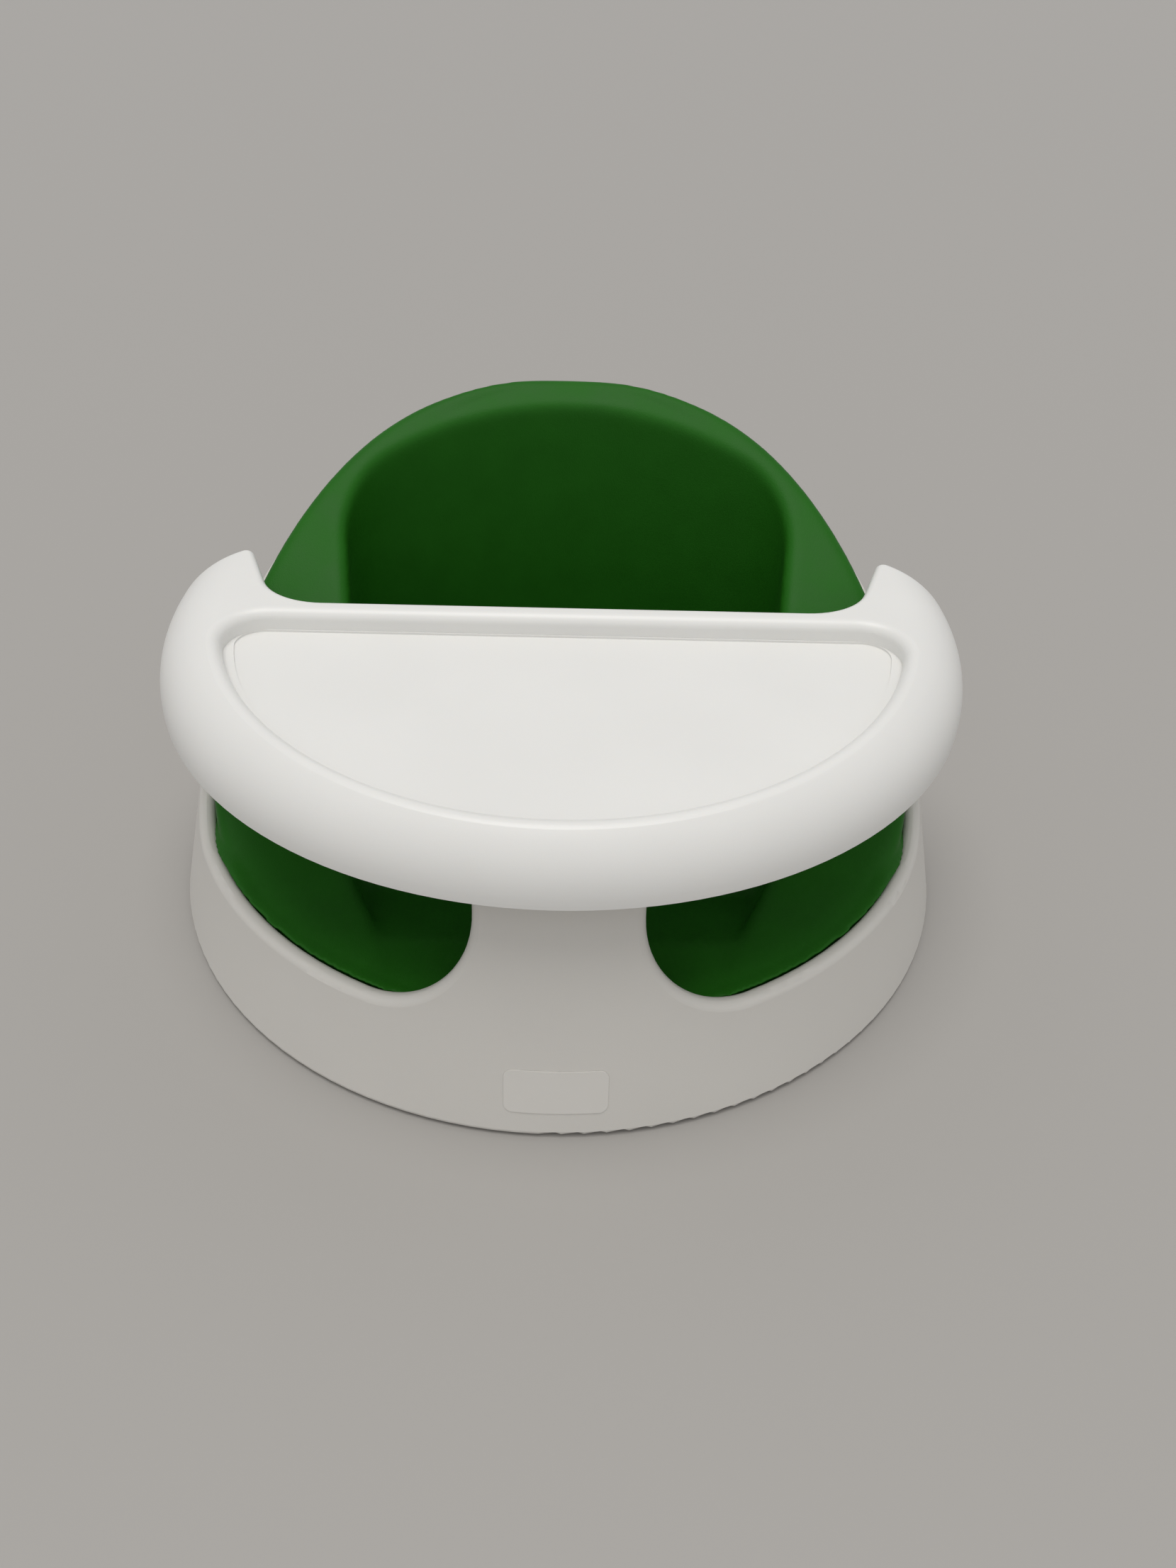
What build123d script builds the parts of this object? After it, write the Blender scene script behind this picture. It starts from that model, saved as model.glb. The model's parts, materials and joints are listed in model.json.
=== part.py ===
import os
from math import cos, radians, sin, sqrt

from build123d import *

# Outer shell: a round wall that leans inward, cut by a level sill and a sloping rim
base_radius = 210.0
wall_lean = 0.25
shell_wall = 3.5
lip_width = 9.0
lip_depth = 9.0
lip_round = 4.0
foot_round = 2.0
sill_height = 55.0
rim_start = -65.0
rim_slope = 0.70
rim_blend = 60.0

# Pommel: the part of the wall that stands up between the two leg openings
pommel_half = 36.0
pommel_flare = 50.0
pommel_corner = 14.0

# Underside: plate, feet and screws
foot_gap = 1.0
foot_pad = 2.5
foot_radius = 17.0
foot_inset = 45.0
foot_count = 6
foot_stud = 4.0
foot_stud_rise = 3.0
plate_thickness = 4.0
plate_gap = 1.0
screw_count = 6
screw_radius = 1.7
screw_head_radius = 3.75
screw_head = 2.2
thread_gap = 0.1
head_gap = 0.2
screw_tip_gap = 4.0
shell_boss_inset = 12.5
shell_boss_height = 24.0
pan_boss_inset = 90.0
pan_screw_cover = 1.0
boss_radius = 6.0

# Seat pan: the plain bowl that carries the foam
pan_wall = 3.0
pan_floor = 11.0

# Foam insert
foam_gap = 0.5
foam_rise = 16.5
foam_sink = 1.0
foam_overlap = 1.0
foam_shoulder = 6.0
shoulder_start = 100.0
shoulder_turn = 145.0
foam_blend = 80.0
foam_edge = 6.0
foam_back = 17.5
foam_side = 51.5
well_floor = 34.0
well_front_drop = 0.5
well_back_radius = 204.0
well_corner = 42.0
well_waist = 9.5
well_waist_place = 22.0
well_hip = 5.0
well_turn = -60.0
well_bend = 70.0
well_round = 10.0
well_mouth = 18.0
leg_width = 32.0
leg_inset = 45.0
ramp_start = 124.0
ramp_end = 70.0
notch_depth = 14.4
notch_shoulder = 8.0
notch_room = 4.0

# Label: a bare rounded plate on the front
label_width = 46.0
label_height = 21.6
label_corner = 4.0
label_thickness = 0.3
label_gap = 0.05
label_centre = 24.5

# Tray: a domed skin with horns, open below
tray_overhang = 23.0
tray_depth = 36.0
tray_top_height = 166.0
tray_skirt = 2.0
tray_skin = 3.0
tray_rear_drop = 9.0
horn_width = 36.5
horn_clear = 6.4
horn_length = 57.0
horn_slant = 0.39
horn_bevel = 0.70
horn_sweep = 35.0
tip_round = 1.0
recess_depth = 11.0
recess_land = 21.5
recess_offset = 13.9
rear_bar = 11.5
recess_corner = 19.0
recess_edge = 5.0
panel_step = 1.0
panel_inset = 0.6
panel_draw = 6.0
panel_corner = 13.0
rear_edge = 3.5

# Tray underside plate and its screws
cover_thickness = 3.0
cover_rise = 4.0
cover_gap = 0.5
window_gap = 2.0
cover_ring_inset = 53.0
cover_ring_angles = (33, 60)
cover_rear_inset = 38.0
cover_rear_half = 40.0
cover_screw_skin = 1.0
cover_boss_radius = 4.5

# Tray clips: tongues that drop into slots in the shell's rim
clip_setback = 45.0
clip_inset = 4.0
tongue_length = 14.0
tongue_thickness = 2.4
tongue_depth = 10.0
slot_gap = 0.5
clip_flange_width = 16.0
clip_flange_length = 26.0
clip_flange = 3.0
clip_drop = 19.0
clip_screw_pitch = 16.0
clip_screw_inset = 6.0
clip_screw_hold = 5.0
clip_screw_relief = 1.0

seat_gap = 0.3
touch = 0.1
reach = 300.0


def wall_radius(height):
    return base_radius - wall_lean * height


tray_floor = tray_top_height - recess_depth
tray_floor_under = tray_floor - tray_skin
tray_ledge = tray_floor + panel_step
tray_bottom = tray_top_height - tray_depth
tray_rear_wall = tray_top_height - tray_rear_drop
tray_radius = wall_radius(tray_bottom) + tray_overhang
pommel_top = tray_floor_under - seat_gap
horn_inside = tray_radius - horn_width
horn_end = rim_start + (tray_bottom - sill_height - horn_clear) / rim_slope
tray_rear = horn_end - horn_length
recess_front = tray_radius - recess_land
recess_radius = recess_front - recess_offset
recess_back = tray_rear - rear_bar
clip_place = horn_end - clip_setback
clip_flange_height = tray_top_height - clip_drop
rim_at_clip = sill_height + rim_slope * (clip_place - rim_start)
clip_radius = wall_radius(rim_at_clip) - clip_inset
foot_ring = base_radius - foot_inset
shell_boss_ring = base_radius - shell_boss_inset
pan_boss_ring = base_radius - pan_boss_inset
plate_bottom = foot_pad
plate_top = plate_bottom + plate_thickness
pan_top = pan_floor + pan_wall
foam_bottom = pan_top + seat_gap
cone_height = sill_height + rim_slope * (base_radius - rim_start)
upright = (Align.CENTER, Align.CENTER, Align.MIN)


# Height of the rim's inner edge at an angle measured from the front
def rim_height(angle):
    inner = base_radius - lip_width
    slope = rim_slope * cos(radians(angle))
    sloping = (sill_height - inner * slope - rim_slope * rim_start) / (1 - wall_lean * slope)
    return max(sill_height, sloping)


# Share of the foam's fuller shoulders at an angle measured from the front
def shoulder_share(angle):
    behind = max(0, min(angle, 360 - angle) - shoulder_start)
    return sin(radians(shoulder_turn * behind / (180 - shoulder_start))) ** 2


# Plan of the hole inside the rim, drawn in by an inset so that what fits lifts straight out
def throat_points(inset, shoulder=0):
    points = []
    for angle in range(0, 360, 15):
        radius = wall_radius(rim_height(angle)) - lip_width - inset + shoulder * shoulder_share(angle)
        points.append((radius * sin(radians(angle)), -radius * cos(radians(angle))))
    return points


# Leaning solid cone, set in from the shell's outer face
def leaning_cone(inset, bottom):
    with BuildPart() as cone:
        with Locations((0, 0, bottom)):
            Cone(
                wall_radius(bottom) - inset,
                wall_radius(cone_height) - inset,
                cone_height - bottom,
                align=upright,
            )
    return cone.part


# Space above a level front and a slope that climbs to the back
def space_above(level, start, blend):
    back = level + rim_slope * (reach - start)
    with BuildPart() as space:
        with BuildSketch(Plane.YZ) as side:
            with BuildLine():
                Polyline(
                    (-reach, level),
                    (start, level),
                    (reach, back),
                    (reach, 2 * reach),
                    (-reach, 2 * reach),
                    close=True,
                )
            make_face()
            fillet(side.vertices().sort_by_distance((start, level, 0))[0], blend)
        extrude(amount=reach, both=True)
    return space.part


# Front outline of the pommel with its flared feet, drawn in by an inset
def pommel_block(inset):
    half = pommel_half - inset
    level = sill_height - inset
    top = pommel_top - inset
    wide = pommel_half + 2 * pommel_flare
    with BuildPart() as block:
        with BuildSketch(Plane.XZ) as front:
            with BuildLine():
                Polyline(
                    (half, top),
                    (half, level),
                    (wide, level),
                    (wide, 0),
                    (-wide, 0),
                    (-wide, level),
                    (-half, level),
                    (-half, top),
                    close=True,
                )
            make_face()
            inner = front.vertices().filter_by_position(Axis.X, -half - touch, half + touch)
            fillet(inner.group_by(Axis.Y)[0], pommel_flare + inset)
            fillet(front.vertices().group_by(Axis.Y)[-1], pommel_corner - inset)
        extrude(amount=reach)
    return block.part


# Outer shell with its rounded wall, rim lip, pommel and screw bosses
with BuildPart() as open_space:
    add(space_above(sill_height, rim_start, rim_blend))
    add(pommel_block(0), mode=Mode.SUBTRACT)

with BuildPart() as hollow_space:
    add(leaning_cone(shell_wall, 0))
    add(space_above(sill_height - lip_depth, rim_start, rim_blend), mode=Mode.SUBTRACT)

with BuildPart() as pommel_core:
    add(leaning_cone(shell_wall, sill_height - lip_depth))
    add(pommel_block(lip_depth), mode=Mode.INTERSECT)

with BuildPart() as shell_bosses:
    with PolarLocations(shell_boss_ring, screw_count):
        with Locations((0, 0, plate_top)):
            Cylinder(boss_radius, shell_boss_height, align=upright)
    with PolarLocations(shell_boss_ring + 2 * boss_radius, screw_count):
        with Locations((0, 0, plate_top)):
            Box(4 * boss_radius, boss_radius, shell_boss_height, align=upright)
    add(leaning_cone(shell_wall / 2, plate_top), mode=Mode.INTERSECT)
    with PolarLocations(shell_boss_ring, screw_count):
        with Locations((0, 0, plate_top)):
            pilot = shell_boss_height - screw_tip_gap
            Cylinder(screw_radius + thread_gap, pilot, align=upright, mode=Mode.SUBTRACT)

with BuildPart() as outer_shell:
    add(leaning_cone(0, foot_gap))
    add(leaning_cone(lip_width, 0), mode=Mode.SUBTRACT)
    add(open_space.part, mode=Mode.SUBTRACT)
    cone_edges = outer_shell.faces().filter_by(GeomType.CONE).edges()
    curved_edges = cone_edges.filter_by(GeomType.LINE, reverse=True)
    fillet(curved_edges.filter_by_position(Axis.Z, sill_height - touch, reach), lip_round)
    foot_edges = outer_shell.edges().group_by(Axis.Z)[0]
    fillet(foot_edges.sort_by(SortBy.LENGTH)[-1], foot_round)
    add(hollow_space.part, mode=Mode.SUBTRACT)
    add(pommel_core.part, mode=Mode.SUBTRACT)
    add(shell_bosses.part)
    with Locations((-clip_radius, clip_place, 0), (clip_radius, clip_place, 0)):
        Box(
            tongue_thickness + 2 * slot_gap,
            tongue_length + 2 * slot_gap,
            cone_height,
            align=upright,
            mode=Mode.SUBTRACT,
        )
outer_shell.part.label = "outer_shell"

# Seat pan with its bosses
with BuildPart() as seat_pan:
    with BuildSketch(Plane.XY.offset(pan_floor)):
        with BuildLine():
            Spline(*throat_points(-pan_wall), periodic=True)
        make_face()
    extrude(amount=cone_height - pan_floor)
    with BuildSketch(Plane.XY.offset(pan_top)):
        with BuildLine():
            Spline(*throat_points(0), periodic=True)
        make_face()
    extrude(amount=cone_height - pan_top, mode=Mode.SUBTRACT)
    add(space_above(sill_height - lip_depth, rim_start, rim_blend), mode=Mode.SUBTRACT)
    with PolarLocations(pan_boss_ring, screw_count):
        with Locations((0, 0, plate_top)):
            Cylinder(boss_radius, pan_floor - plate_top, align=upright)
            pilot = pan_top - plate_top - pan_screw_cover
            Cylinder(screw_radius + thread_gap, pilot, align=upright, mode=Mode.SUBTRACT)
seat_pan.part.label = "seat_pan"

# Base plate with holes for the feet and the screws
with BuildPart() as base_plate:
    with Locations((0, 0, plate_bottom)):
        Cylinder(wall_radius(plate_top) - shell_wall - plate_gap, plate_thickness, align=upright)
    for ring in (shell_boss_ring, pan_boss_ring):
        with PolarLocations(ring, screw_count):
            with Locations((0, 0, plate_bottom)):
                Cylinder(screw_radius + seat_gap, plate_thickness, align=upright, mode=Mode.SUBTRACT)
                sink = screw_head + head_gap
                Cylinder(screw_head_radius + seat_gap, sink, align=upright, mode=Mode.SUBTRACT)
    with PolarLocations(foot_ring, foot_count, start_angle=180 / foot_count):
        with Locations((0, 0, plate_bottom)):
            Cylinder(foot_stud + thread_gap, plate_thickness, align=upright, mode=Mode.SUBTRACT)
base_plate.part.label = "base_plate"

# Rubber feet, each with a stud through the plate
feet = []
for index in range(foot_count):
    angle = radians(180 / foot_count + index * 360 / foot_count)
    with BuildPart() as foot:
        with Locations((foot_ring * cos(angle), foot_ring * sin(angle), 0)):
            Cylinder(foot_radius, foot_pad, align=upright)
            Cylinder(foot_stud, plate_top + foot_stud_rise, align=upright)
    foot.part.label = f"foot_{index + 1}"
    feet.append(foot.part)


# One screw, head down, standing on the place given
def screw(place, length):
    with BuildPart() as fastener:
        with Locations(place):
            Cylinder(screw_head_radius, screw_head, align=upright)
            Cylinder(screw_radius, length, align=upright)
    return fastener.part


# Screws of one kind, each a piece of its own
def screw_set(name, places, length):
    for index, place in enumerate(places):
        fastener = screw(place, length)
        fastener.label = f"{name}_{index + 1}"
        screws.append(fastener)


def ring_places(ring):
    places = []
    for index in range(screw_count):
        angle = radians(index * 360 / screw_count)
        places.append((ring * cos(angle), ring * sin(angle), plate_bottom + head_gap))
    return places


screws = []
shell_screw_length = plate_thickness + shell_boss_height - 2 * screw_tip_gap
screw_set("shell_screw", ring_places(shell_boss_ring), shell_screw_length)
screw_set("pan_screw", ring_places(pan_boss_ring), pan_top - plate_bottom - 2 * pan_screw_cover)

# Bare label plate on the front of the shell
with BuildPart() as label_plate:
    add(leaning_cone(-label_gap - label_thickness, 0))
    add(leaning_cone(-label_gap, 0), mode=Mode.SUBTRACT)
    with BuildSketch(Plane.XZ):
        with Locations((0, label_centre)):
            RectangleRounded(label_width, label_height, label_corner)
    extrude(amount=reach, mode=Mode.INTERSECT)
label_plate.part.label = "label_plate"

# Seat well: a rounded hollow sunk into a wide slab that has the foam's top
foam_level = sill_height - foam_sink
foam_start = rim_start - (foam_rise + foam_sink) / rim_slope
well_back = wall_radius(rim_height(180)) - lip_width - foam_gap - foam_back
well_half = wall_radius(rim_height(90)) - lip_width - foam_gap - foam_side
leg_exit = pommel_half + leg_width
leg_turn = leg_inset - base_radius

with BuildPart() as well_slab:
    Box(2 * reach, 2 * reach, 2 * reach, align=upright)
    add(space_above(foam_level, foam_start, foam_blend), mode=Mode.SUBTRACT)
    with BuildSketch(Plane.XY.offset(well_floor)) as outline:
        with BuildLine():
            corner = well_back - well_back_radius + sqrt(well_back_radius**2 - well_half**2)
            ThreePointArc((-well_half, corner), (0, well_back), (well_half, corner))
            Polyline(
                (well_half, corner),
                (well_half - well_waist, well_waist_place),
                (well_half - well_hip, well_turn),
                (leg_exit, leg_turn),
                (leg_exit, -base_radius),
                (-leg_exit, -base_radius),
                (-leg_exit, leg_turn),
                (well_hip - well_half, well_turn),
                (well_waist - well_half, well_waist_place),
                (-well_half, corner),
            )
        make_face()
        for turn, bend in (
            (corner, well_corner),
            (well_waist_place, well_bend),
            (well_turn, well_bend),
            (leg_turn, well_bend),
            (-base_radius, well_mouth),
        ):
            fillet(outline.vertices().filter_by_position(Axis.Y, turn - touch, turn + touch), bend)
    extrude(amount=2 * reach, mode=Mode.SUBTRACT)
    brim = well_slab.edges().filter_by_position(Axis.X, -well_half - foam_edge, well_half + foam_edge)
    brim = brim.filter_by_position(Axis.Y, -base_radius - touch, well_back + touch)
    brim = brim.filter_by_position(Axis.Z, foam_level - touch, reach)
    fillet(brim, foam_edge)
    floor = well_slab.faces().filter_by_position(Axis.Z, well_floor - touch, well_floor + touch)
    fillet(floor.edges(), well_round)
    with BuildSketch(Plane.YZ):
        with BuildLine():
            Polyline(
                (-reach, 0),
                (-reach, foam_level - well_front_drop),
                (ramp_end - base_radius, foam_level - well_front_drop),
                (ramp_start - base_radius, well_floor),
                (ramp_start - base_radius, 0),
                close=True,
            )
        make_face()
    extrude(amount=well_half, both=True)


# Block with a throat plan drawn in by an inset, up to the foam's top
def foam_block(inset, shoulder, edge):
    with BuildPart() as block:
        with BuildSketch(Plane.XY.offset(foam_bottom)):
            with BuildLine():
                Spline(*throat_points(inset, shoulder), periodic=True)
            make_face()
        extrude(amount=2 * cone_height)
        add(space_above(foam_level, foam_start, foam_blend), mode=Mode.SUBTRACT)
        if edge:
            crest = block.edges().filter_by_position(Axis.Z, foam_level - touch, reach)
            fillet(crest.filter_by(GeomType.LINE, reverse=True), edge)
    return block.part


# Rolled edge of the foam, which lies on the shell's rim
with BuildPart() as foam_roll:
    add(foam_block(-foam_overlap, foam_shoulder, foam_edge))
    add(space_above(sill_height + seat_gap, rim_start, rim_blend), mode=Mode.INTERSECT)

# Foam insert: the block in the throat and the rolled edge, less the well and the pommel's place
with BuildPart() as foam_insert:
    add(foam_block(foam_gap, 0, 0))
    add(space_above(sill_height + 2 * seat_gap, rim_start, rim_blend), mode=Mode.SUBTRACT)
    add(foam_roll.part)
    add(well_slab.part, mode=Mode.INTERSECT)
    with BuildSketch(Plane.XY):
        with BuildLine():
            shoulder = wall_radius(sill_height + pommel_flare) - lip_width - foam_gap
            column = wall_radius(pommel_top) - lip_width - foam_gap
            foot = wall_radius(sill_height) - lip_width - notch_depth
            Polyline(
                (pommel_half + pommel_flare, -reach),
                (pommel_half + pommel_flare, -foot),
                (pommel_half + notch_shoulder, -shoulder),
                (pommel_half + foam_gap, -shoulder + notch_room),
                (pommel_half + foam_gap, -column + notch_room),
                (-pommel_half - foam_gap, -column + notch_room),
                (-pommel_half - foam_gap, -shoulder + notch_room),
                (-pommel_half - notch_shoulder, -shoulder),
                (-pommel_half - pommel_flare, -foot),
                (-pommel_half - pommel_flare, -reach),
                close=True,
            )
        make_face()
    extrude(amount=reach, mode=Mode.SUBTRACT)
foam_insert.part.label = "foam_insert"


# Solid dome of the tray, drawn in by an inset
def tray_dome(inset):
    top = tray_top_height - inset
    outer = tray_radius - inset
    shoulder = tray_bottom + tray_skirt
    drop = top - shoulder
    with BuildPart() as dome:
        with BuildSketch(Plane.XZ):
            with BuildLine():
                Line((0, top), (outer - drop, top))
                RadiusArc((outer - drop, top), (outer, shoulder), drop)
                Polyline((outer, shoulder), (outer, tray_bottom), (0, tray_bottom), (0, top))
            make_face()
        revolve(axis=Axis.Z)
    return dome.part


# Plan of what lies behind the tray's rear edge and its leaning horns, grown by a skin
def behind_tray(grow):
    rear = tray_rear - grow
    side = grow * sqrt(1 + horn_slant**2)
    end = grow * sqrt(1 + horn_bevel**2)
    out = (side - horn_slant * end) / (1 + horn_slant * horn_bevel)
    tip = horn_inside + out
    back = horn_end - end - horn_bevel * out
    root = horn_inside + side - horn_slant * (horn_end - rear)
    far = back - horn_bevel * (reach - tip)
    with BuildSketch() as plan:
        with BuildLine():
            Polyline(
                (-reach, far),
                (-tip, back),
                (-root, rear),
                (root, rear),
                (tip, back),
                (reach, far),
                (reach, reach),
                (-reach, reach),
                close=True,
            )
        make_face()
        fillet(plan.vertices().filter_by_position(Axis.Y, rear - touch, rear + touch), horn_sweep + grow)
        fillet(plan.vertices().filter_by_position(Axis.Y, back - touch, back + touch), rear_edge + tip_round)
    return plan.sketch


# D-shaped plan of the recess, grown by the thickness of its walls and drawn in at its ends
def recess_plan(grow, corner, draw=0):
    radius = recess_radius - draw
    with BuildSketch() as plan:
        with Locations((0, radius - recess_front)):
            Circle(radius + grow)
        with Locations((0, recess_back + grow)):
            Rectangle(2 * reach, reach, align=(Align.CENTER, Align.MIN), mode=Mode.SUBTRACT)
        fillet(plan.vertices(), corner + grow)
    return plan.sketch


# Places of the cover screws, in mirrored pairs
cover_ring = tray_radius - cover_ring_inset
cover_screws = []
for side in (-1, 1):
    for angle in cover_ring_angles:
        cover_screws.append((side * cover_ring * sin(radians(angle)), -cover_ring * cos(radians(angle))))
    cover_screws.append((side * cover_rear_half, tray_rear - cover_rear_inset))

# Places of the clip screws, two to each clip
clip_holes = []
for side in (-1, 1):
    for step in (-0.5, 0.5):
        clip_holes.append((side * (clip_radius - clip_screw_inset), clip_place + step * clip_screw_pitch))

with BuildPart() as tray_hollow:
    add(tray_dome(tray_skin))
    with BuildSketch(Plane.XY.offset(tray_rear_wall)):
        add(behind_tray(tray_skin))
    extrude(amount=reach, mode=Mode.SUBTRACT)
    with BuildSketch(Plane.XY.offset(tray_floor_under)):
        add(recess_plan(tray_skin, recess_corner))
    extrude(amount=reach, mode=Mode.SUBTRACT)
    with BuildSketch(Plane.XY.offset(tray_bottom + cover_rise + cover_thickness)):
        with Locations(*cover_screws):
            Circle(cover_boss_radius)
    extrude(amount=reach, mode=Mode.SUBTRACT)
    with BuildSketch(Plane.XY.offset(clip_flange_height + clip_flange)):
        with Locations(*clip_holes):
            Circle(cover_boss_radius)
    extrude(amount=reach, mode=Mode.SUBTRACT)

with BuildPart() as tray_top:
    add(tray_dome(0))
    with BuildSketch(Plane.XY.offset(tray_ledge)):
        add(recess_plan(0, recess_corner))
    extrude(amount=reach, mode=Mode.SUBTRACT)
    recess_edges = tray_top.edges(Select.LAST).filter_by(Axis.Z, reverse=True)
    fillet(recess_edges.filter_by_position(Axis.Z, tray_ledge + touch, reach), recess_edge)
    with BuildSketch(Plane.XY.offset(tray_floor)):
        add(recess_plan(-panel_inset, panel_corner, panel_draw))
    extrude(amount=reach, mode=Mode.SUBTRACT)
    with BuildSketch():
        add(behind_tray(0))
    extrude(amount=reach, mode=Mode.SUBTRACT)
    rear_edges = tray_top.edges(Select.LAST).filter_by(Axis.Z, reverse=True)
    fillet(rear_edges.filter_by_position(Axis.Z, tray_bottom + tray_skirt, reach), rear_edge)
    add(tray_hollow.part, mode=Mode.SUBTRACT)
    with BuildSketch(Plane.XY.offset(tray_bottom)):
        with Locations(*cover_screws):
            Circle(screw_radius + thread_gap)
    extrude(amount=tray_floor_under + cover_screw_skin - tray_bottom, mode=Mode.SUBTRACT)
    with BuildSketch(Plane.XY.offset(tray_bottom)):
        with Locations(*clip_holes):
            Circle(screw_radius + thread_gap)
    clip_pilot = clip_flange_height + clip_flange + clip_screw_hold + clip_screw_relief
    extrude(amount=clip_pilot - tray_bottom, mode=Mode.SUBTRACT)
tray_top.part.label = "tray_top"

# Flat cover under the recess, with a window for the pommel
cover_bottom = tray_bottom + cover_rise
with BuildPart() as tray_underside:
    with BuildSketch(Plane.XY.offset(cover_bottom)):
        Circle(tray_radius - tray_skin - 2 * cover_gap)
        with Locations((0, tray_rear - tray_skin - cover_gap)):
            Rectangle(2 * reach, reach, align=(Align.CENTER, Align.MIN), mode=Mode.SUBTRACT)
        with Locations((0, -wall_radius(pommel_top) + lip_width / 2)):
            window = 2 * (pommel_half + window_gap)
            Rectangle(window, 3 * lip_width + window_gap, mode=Mode.SUBTRACT)
        with Locations(*cover_screws):
            Circle(screw_radius + seat_gap, mode=Mode.SUBTRACT)
    extrude(amount=cover_thickness)
    with BuildSketch(Plane.XY.offset(cover_bottom)):
        with Locations(*cover_screws):
            Circle(screw_head_radius + seat_gap)
    extrude(amount=screw_head / 2, mode=Mode.SUBTRACT)
tray_underside.part.label = "tray_underside"

screw_places = [(x, y, cover_bottom - screw_head / 2) for x, y in cover_screws]
screw_set("tray_screw", screw_places, tray_floor_under - cover_bottom)

# Clips under the horns: a screwed flange with a tongue below it
clips = []
for side, name in ((-1, "left_clip"), (1, "right_clip")):
    with BuildPart() as clip:
        flange_place = clip_radius + tongue_thickness - clip_flange_width / 2
        with Locations((side * flange_place, clip_place, clip_flange_height)):
            Box(clip_flange_width, clip_flange_length, clip_flange, align=upright)
        with Locations((side * clip_radius, clip_place, rim_at_clip - tongue_depth)):
            Box(
                tongue_thickness,
                tongue_length,
                clip_flange_height - rim_at_clip + tongue_depth,
                align=upright,
            )
        with Locations(*[(x, y, clip_flange_height) for x, y in clip_holes if x * side > 0]):
            Cylinder(screw_radius + seat_gap, clip_flange, align=upright, mode=Mode.SUBTRACT)
    clip.part.label = name
    clips.append(clip.part)

screw_places = [(x, y, clip_flange_height - screw_head) for x, y in clip_holes]
screw_set("clip_screw", screw_places, screw_head + clip_flange + clip_screw_hold)

os.makedirs("parts", exist_ok=True)
pieces = [
    outer_shell.part,
    seat_pan.part,
    base_plate.part,
    *feet,
    label_plate.part,
    foam_insert.part,
    tray_top.part,
    tray_underside.part,
    *clips,
    *screws,
]
for piece in pieces:
    export_step(piece, f"parts/{piece.label}.step")
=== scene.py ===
import json
import math

import bmesh
import bpy
from mathutils import Matrix, Vector


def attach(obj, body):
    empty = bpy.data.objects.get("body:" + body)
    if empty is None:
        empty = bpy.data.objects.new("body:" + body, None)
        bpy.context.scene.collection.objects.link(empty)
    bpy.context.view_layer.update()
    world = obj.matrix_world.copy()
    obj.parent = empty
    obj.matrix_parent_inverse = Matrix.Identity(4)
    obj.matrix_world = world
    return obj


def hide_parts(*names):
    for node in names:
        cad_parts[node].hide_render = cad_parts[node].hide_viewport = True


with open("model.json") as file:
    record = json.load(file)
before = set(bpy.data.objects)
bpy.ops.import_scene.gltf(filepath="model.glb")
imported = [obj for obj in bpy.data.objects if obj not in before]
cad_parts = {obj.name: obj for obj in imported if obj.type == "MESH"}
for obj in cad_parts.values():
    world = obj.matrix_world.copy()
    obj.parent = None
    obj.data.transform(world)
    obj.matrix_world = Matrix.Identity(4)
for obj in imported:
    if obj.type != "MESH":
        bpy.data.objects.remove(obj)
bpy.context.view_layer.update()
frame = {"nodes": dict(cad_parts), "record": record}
nodes = frame["nodes"]
scene = bpy.context.scene
print("frame loaded")

# Camera, placed where the photograph was taken from; lengths in metres unless a name says otherwise
cameraValues = {
    "place": (0.00145, -0.53175, 0.443),
    "headingDeg": 1.4,
    "pitchDeg": 37.2,
    "rollDeg": 1.93,
    "focalPixels": 1661,
    "imagePixels": (1659, 2212),
    "sensorMm": 36.0,
    "nearest": 0.01,
}


def buildCamera(values):
    heading = math.radians(values["headingDeg"])
    pitch = math.radians(values["pitchDeg"])
    roll = math.radians(values["rollDeg"])
    level = math.cos(pitch)
    forward = Vector((math.sin(heading) * level, math.cos(heading) * level, -math.sin(pitch)))
    right = Vector((math.cos(heading), -math.sin(heading), 0))
    upward = right.cross(forward)
    across = right * math.cos(roll) + upward * math.sin(roll)
    up = upward * math.cos(roll) - right * math.sin(roll)
    data = bpy.data.cameras.new("camera")
    data.sensor_width = values["sensorMm"]
    data.lens = values["focalPixels"] / max(values["imagePixels"]) * values["sensorMm"]
    data.clip_start = values["nearest"]
    item = bpy.data.objects.new("camera", data)
    scene.collection.objects.link(item)
    turn = Matrix((across, up, -forward)).transposed().to_4x4()
    item.matrix_world = Matrix.Translation(values["place"]) @ turn
    scene.camera = item


buildCamera(cameraValues)
print("camera placed")

# Floor and soft studio light
floorValues = {"halfSize": 30.0, "colour": (0.385, 0.37, 0.35, 1), "roughness": 0.6, "drop": 0.0002}
lightValues = {
    "key": {"toward": (-0.05, -0.08, 1.0), "spreadDeg": 40, "strength": 1.5, "colour": (1.0, 0.98, 0.95)},
    "fill": {"toward": (-0.1, -1.0, 0.8), "spreadDeg": 60, "strength": 0.28, "colour": (1.0, 0.98, 0.95)},
}
worldValues = {"colour": (0.97, 0.98, 1.0, 1), "strength": 0.47}


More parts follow.
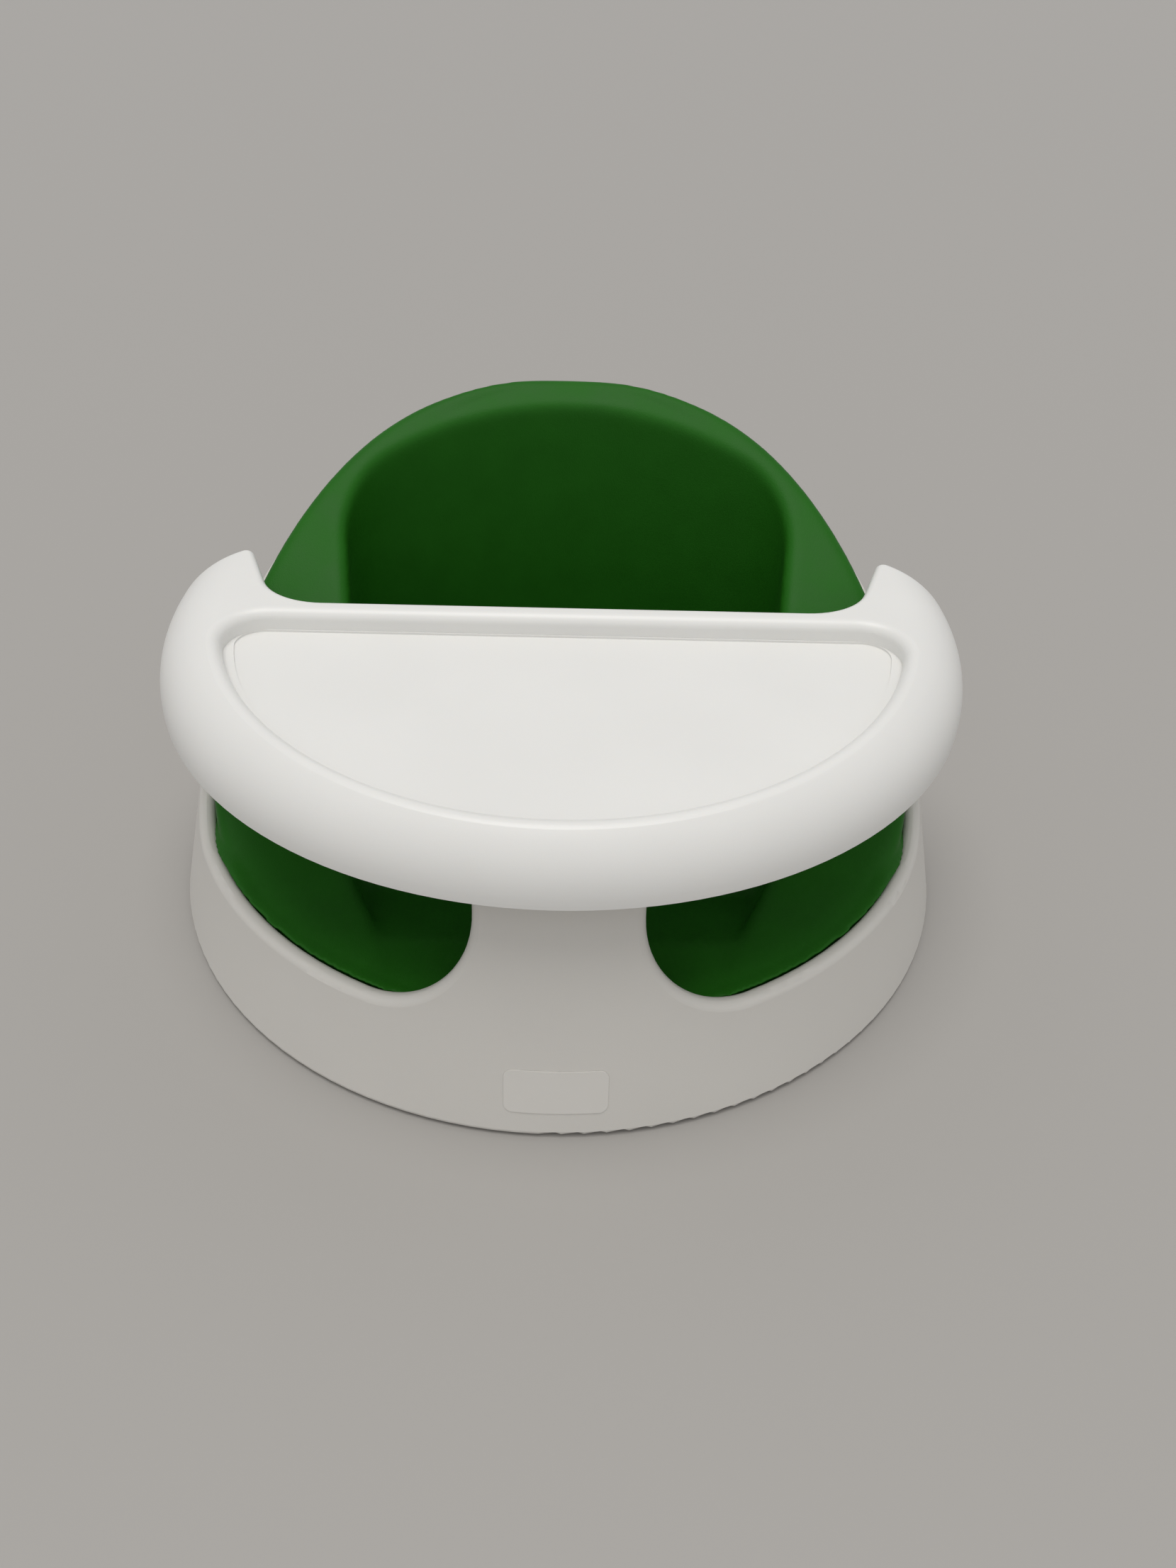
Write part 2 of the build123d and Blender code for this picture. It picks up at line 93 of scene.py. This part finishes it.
def buildFloor(values):
    mesh = bpy.data.meshes.new("floor")
    shape = bmesh.new()
    bmesh.ops.create_grid(shape, x_segments=1, y_segments=1, size=values["halfSize"])
    bmesh.ops.translate(shape, verts=shape.verts, vec=(0, 0, -values["drop"]))
    shape.to_mesh(mesh)
    shape.free()
    floor = bpy.data.objects.new("floor", mesh)
    scene.collection.objects.link(floor)
    material = bpy.data.materials.new("floorMatte")
    material.use_nodes = True
    shader = material.node_tree.nodes["Principled BSDF"]
    shader.inputs["Base Color"].default_value = values["colour"]
    shader.inputs["Roughness"].default_value = values["roughness"]
    mesh.materials.append(material)


def buildLights(values):
    for name, light in values.items():
        data = bpy.data.lights.new(name, "SUN")
        data.angle = math.radians(light["spreadDeg"])
        data.energy = light["strength"]
        data.color = light["colour"]
        item = bpy.data.objects.new(name, data)
        item.rotation_euler = Vector(light["toward"]).to_track_quat("Z", "Y").to_euler()
        scene.collection.objects.link(item)


def buildWorld(values):
    world = bpy.data.worlds.new("studio")
    world.use_nodes = True
    backdrop = world.node_tree.nodes["Background"]
    backdrop.inputs["Color"].default_value = values["colour"]
    backdrop.inputs["Strength"].default_value = values["strength"]
    scene.world = world


buildFloor(floorValues)
buildLights(lightValues)
buildWorld(worldValues)
scene.view_settings.view_transform = "Standard"
print("stage lit")

# Shared surface effect: mottled colour and roughness with two scales of bump
surfaceValues = {
    "mottleDetail": 4,
    "grainDetail": 3,
    "grainHeight": 0.0004,
    "waveHeight": 0.002,
    "scatter": (0.004, 0.003, 0.002),  # how far red, green and blue light spreads inside
}
surfaceInputs = {  # the group's input and the value of a finish that goes there
    "Mottle": "mottle",
    "Mottle Scale": "mottleScale",
    "Roughness": "roughness",
    "Roughness Spread": "roughnessSpread",
    "Grain Scale": "grainScale",
    "Grain": "grain",
    "Wave": "wave",
}


def surfaceGroup(values):
    group = bpy.data.node_groups.new("mouldedSurface", "ShaderNodeTree")
    sockets = group.interface
    sockets.new_socket("Base", in_out="INPUT", socket_type="NodeSocketColor")
    for name in surfaceInputs:
        sockets.new_socket(name, in_out="INPUT", socket_type="NodeSocketFloat")
    sockets.new_socket("Color", in_out="OUTPUT", socket_type="NodeSocketColor")
    sockets.new_socket("Roughness", in_out="OUTPUT", socket_type="NodeSocketFloat")
    sockets.new_socket("Normal", in_out="OUTPUT", socket_type="NodeSocketVector")
    make = group.nodes.new
    link = group.links.new
    source = make("NodeGroupInput")
    result = make("NodeGroupOutput")
    place = make("ShaderNodeTexCoord")

    def noise(detail, scaleName):
        node = make("ShaderNodeTexNoise")
        node.inputs["Detail"].default_value = detail
        link(place.outputs["Object"], node.inputs["Vector"])
        link(source.outputs[scaleName], node.inputs["Scale"])
        return node

    def bump(height, strengthName, pattern):
        node = make("ShaderNodeBump")
        node.inputs["Distance"].default_value = height
        link(source.outputs[strengthName], node.inputs["Strength"])
        link(pattern.outputs["Fac"], node.inputs["Height"])
        return node

    mottle = noise(values["mottleDetail"], "Mottle Scale")
    centred = make("ShaderNodeMath")
    centred.operation = "SUBTRACT"
    centred.inputs[1].default_value = 0.5  # the middle of the noise's range
    link(mottle.outputs["Fac"], centred.inputs[0])

    shift = make("ShaderNodeMath")
    shift.operation = "MULTIPLY_ADD"
    shift.inputs[2].default_value = 1.0  # the colour's own brightness
    link(centred.outputs[0], shift.inputs[0])
    link(source.outputs["Mottle"], shift.inputs[1])
    tint = make("ShaderNodeHueSaturation")
    link(shift.outputs[0], tint.inputs["Value"])
    link(source.outputs["Base"], tint.inputs["Color"])
    link(tint.outputs["Color"], result.inputs["Color"])

    rough = make("ShaderNodeMath")
    rough.operation = "MULTIPLY_ADD"
    link(centred.outputs[0], rough.inputs[0])
    link(source.outputs["Roughness Spread"], rough.inputs[1])
    link(source.outputs["Roughness"], rough.inputs[2])
    link(rough.outputs[0], result.inputs["Roughness"])

    grain = noise(values["grainDetail"], "Grain Scale")
    fine = bump(values["grainHeight"], "Grain", grain)
    broad = bump(values["waveHeight"], "Wave", mottle)
    link(fine.outputs["Normal"], broad.inputs["Normal"])
    link(broad.outputs["Normal"], result.inputs["Normal"])
    return group


surface = surfaceGroup(surfaceValues)


def surfaceMaterial(name, values):
    material = bpy.data.materials.new(name)
    material.use_nodes = True
    tree = material.node_tree
    shader = tree.nodes["Principled BSDF"]
    effect = tree.nodes.new("ShaderNodeGroup")
    effect.node_tree = surface
    effect.inputs["Base"].default_value = values["colour"]
    for socket, key in surfaceInputs.items():
        effect.inputs[socket].default_value = values[key]
    for output, socket in {"Color": "Base Color", "Roughness": "Roughness", "Normal": "Normal"}.items():
        tree.links.new(effect.outputs[output], shader.inputs[socket])
    shader.inputs["Metallic"].default_value = values["metallic"]
    shader.inputs["Specular IOR Level"].default_value = values["specular"]
    shader.inputs["Subsurface Weight"].default_value = values["translucency"]
    shader.inputs["Subsurface Radius"].default_value = surfaceValues["scatter"]
    return material


# What a finish has where it says nothing else
plainFinish = {"metallic": 0, "specular": 0.5, "translucency": 0}

# Moulded white plastic of the shell, the tray, the hidden pieces and the label plate; the shell's colour
# is the same white plastic darkened with painted shade, for the shade the base stands in beneath the tray
shadedWhiteShell = {
    **plainFinish,
    # painted shade: darker than the tray's white of the same plastic
    "colour": (0.67, 0.65, 0.61, 1),
    "mottle": 0.06,
    "mottleScale": 14,
    "roughness": 0.46,
    "roughnessSpread": 0.10,
    "grainScale": 2600,
    "grain": 0.10,
    "wave": 0.02,
    "translucency": 0.05,
}
whiteTray = dict(shadedWhiteShell, colour=(0.80, 0.795, 0.77, 1), roughness=0.36, grain=0.06)
whiteInner = dict(shadedWhiteShell, colour=(0.70, 0.69, 0.65, 1), roughness=0.55, grain=0.16)
labelPlate = dict(shadedWhiteShell, colour=(0.71, 0.69, 0.65, 1), roughness=0.30, grain=0.02)

# Black rubber of the feet
footRubber = {
    **plainFinish,
    "colour": (0.035, 0.035, 0.035, 1),
    "mottle": 0.3,
    "mottleScale": 90,
    "roughness": 0.75,
    "roughnessSpread": 0.2,
    "grainScale": 1800,
    "grain": 0.3,
    "wave": 0.05,
}

# Bare steel of the screws
screwSteel = {
    **plainFinish,
    "colour": (0.56, 0.56, 0.55, 1),
    "mottle": 0.2,
    "mottleScale": 220,
    "roughness": 0.34,
    "roughnessSpread": 0.15,
    "grainScale": 3000,
    "grain": 0.08,
    "wave": 0.03,
    "metallic": 1,
}

# Skin of the green moulded foam
greenFoam = {
    **plainFinish,
    "colour": (0.014, 0.120, 0.006, 1),
    "mottle": 0.28,
    "mottleScale": 40,
    "roughness": 0.5,
    "roughnessSpread": 0.22,
    "grainScale": 1500,
    "grain": 0.35,
    "wave": 0.06,
    "specular": 0.15,
}
slotMaterials = {
    "white_shell": surfaceMaterial("shadedWhiteShell", shadedWhiteShell),
    "white_tray": surfaceMaterial("whiteTray", whiteTray),
    "white_inner": surfaceMaterial("whiteInner", whiteInner),
    "label_white": surfaceMaterial("labelPlate", labelPlate),
    "foot_rubber": surfaceMaterial("footRubber", footRubber),
    "screw_steel": surfaceMaterial("screwSteel", screwSteel),
    "green_foam": surfaceMaterial("greenFoam", greenFoam),
}


def dressNodes():
    for part in frame["record"]["subparts"]:
        mesh = nodes[part["node"]].data
        mesh.materials.clear()
        mesh.materials.append(slotMaterials[part["material_slot"]])


dressNodes()
print("nodes dressed")

# Foam insert: the moulded foam as one skin, softened inside its edge and pressed against the lip
foamValues = {
    "merge": 0.000001,  # reach within which the copied triangles' corners are joined
    "voxel": 0.0015,
    "wholePasses": 4,  # smoothing of the whole skin
    "softPasses": 8,  # further smoothing away from the edge
    "passShare": 0.5,
    "edgeRadius": 0.1825,  # where the edge beside the lip begins
    "edgeWidth": 0.003,
    "edgeTop": 0.0585,  # height above which the edge stays as it is
    "edgeFade": 0.003,
    "lift": 0.0013,
    "lipFoot": 0.051,  # height where the lip's rounding starts
    "lipRound": 0.004,
    "lipShare": 0.93,  # share of the rounding that the edge follows
    "press": 0.0006,
    "crestTurnDeg": 20,  # either side of the middle of the back
    "crestSpreadDeg": 13,
    "crestFoot": 0.17,
    "crestFade": 0.03,
    "crestInside": 0.143,
    "crestWidth": 0.012,
    "crestDraw": 0.0034,
    "keptFaces": 0.5,
}


# Holds a value between nought and one
def unitShare(value):
    return min(max(value, 0), 1)


# Share of the edge's treatment at a point: full beside the lip, fading inward and up the roll
def edgeShare(point, values):
    outward = (point.xy.length - values["edgeRadius"]) / values["edgeWidth"]
    below = (values["edgeTop"] - point.z) / values["edgeFade"]
    return unitShare(outward) * unitShare(below)


# Lifts the edge and spreads it over the lip's rounding, so that no groove is left between them
def pressEdge(shape, values):
    for vert in shape.verts:
        share = edgeShare(vert.co, values)
        if share == 0:
            continue
        if vert.co.z > values["lipFoot"]:
            vert.co.z += share * values["lift"]
        rise = min(max(vert.co.z - values["lipFoot"], 0), values["lipShare"] * values["lipRound"])
        bulge = values["lipRound"] - math.sqrt(values["lipRound"] ** 2 - rise ** 2)
        vert.co.xy *= 1 + share * (bulge + values["press"]) / vert.co.xy.length


# Draws the crest's outer edge in on both sides of its middle, so that its back is evenly round
def roundCrest(shape, values):
    for vert in shape.verts:
        height = (vert.co.z - values["crestFoot"]) / values["crestFade"]
        outward = (vert.co.xy.length - values["crestInside"]) / values["crestWidth"]
        if height <= 0 or outward <= 0:
            continue
        turn = math.degrees(math.atan2(abs(vert.co.x), vert.co.y))
        side = math.exp(-(((turn - values["crestTurnDeg"]) / values["crestSpreadDeg"]) ** 2))
        share = side * unitShare(height) * unitShare(outward)
        vert.co.xy *= 1 - share * values["crestDraw"] / vert.co.xy.length


def mergedCopy(node, values):
    mesh = node.data.copy()
    shape = bmesh.new()
    shape.from_mesh(mesh)
    bmesh.ops.remove_doubles(shape, verts=shape.verts, dist=values["merge"])
    shape.to_mesh(mesh)
    shape.free()
    return mesh


def remeshSkin(foam, values):
    remesh = foam.modifiers.new("remesh", "REMESH")
    remesh.mode = "VOXEL"
    remesh.voxel_size = values["voxel"]
    graph = bpy.context.evaluated_depsgraph_get()
    mesh = bpy.data.meshes.new_from_object(foam.evaluated_get(graph))
    foam.modifiers.clear()
    foam.data = mesh


def softenSkin(shape, values):
    soft = [vert for vert in shape.verts if edgeShare(vert.co, values) == 0]
    axes = {"use_axis_x": True, "use_axis_y": True, "use_axis_z": True}
    passes = [shape.verts[:]] * values["wholePasses"] + [soft] * values["softPasses"]
    for verts in passes:
        bmesh.ops.smooth_vert(shape, verts=verts, factor=values["passShare"], **axes)


def buildFoam(values):
    foam = bpy.data.objects.new("foamSkin", mergedCopy(nodes["foam_insert"], values))
    scene.collection.objects.link(foam)
    remeshSkin(foam, values)
    mesh = foam.data
    shape = bmesh.new()
    shape.from_mesh(mesh)
    softenSkin(shape, values)
    pressEdge(shape, values)
    roundCrest(shape, values)
    for face in shape.faces:
        face.smooth = True
    shape.to_mesh(mesh)
    shape.free()
    mesh.materials.clear()
    mesh.materials.append(slotMaterials["green_foam"])
    thin = foam.modifiers.new("thin", "DECIMATE")
    thin.ratio = values["keptFaces"]
    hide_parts("foam_insert")
    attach(foam, "insert")


buildFoam(foamValues)
print("foam built")
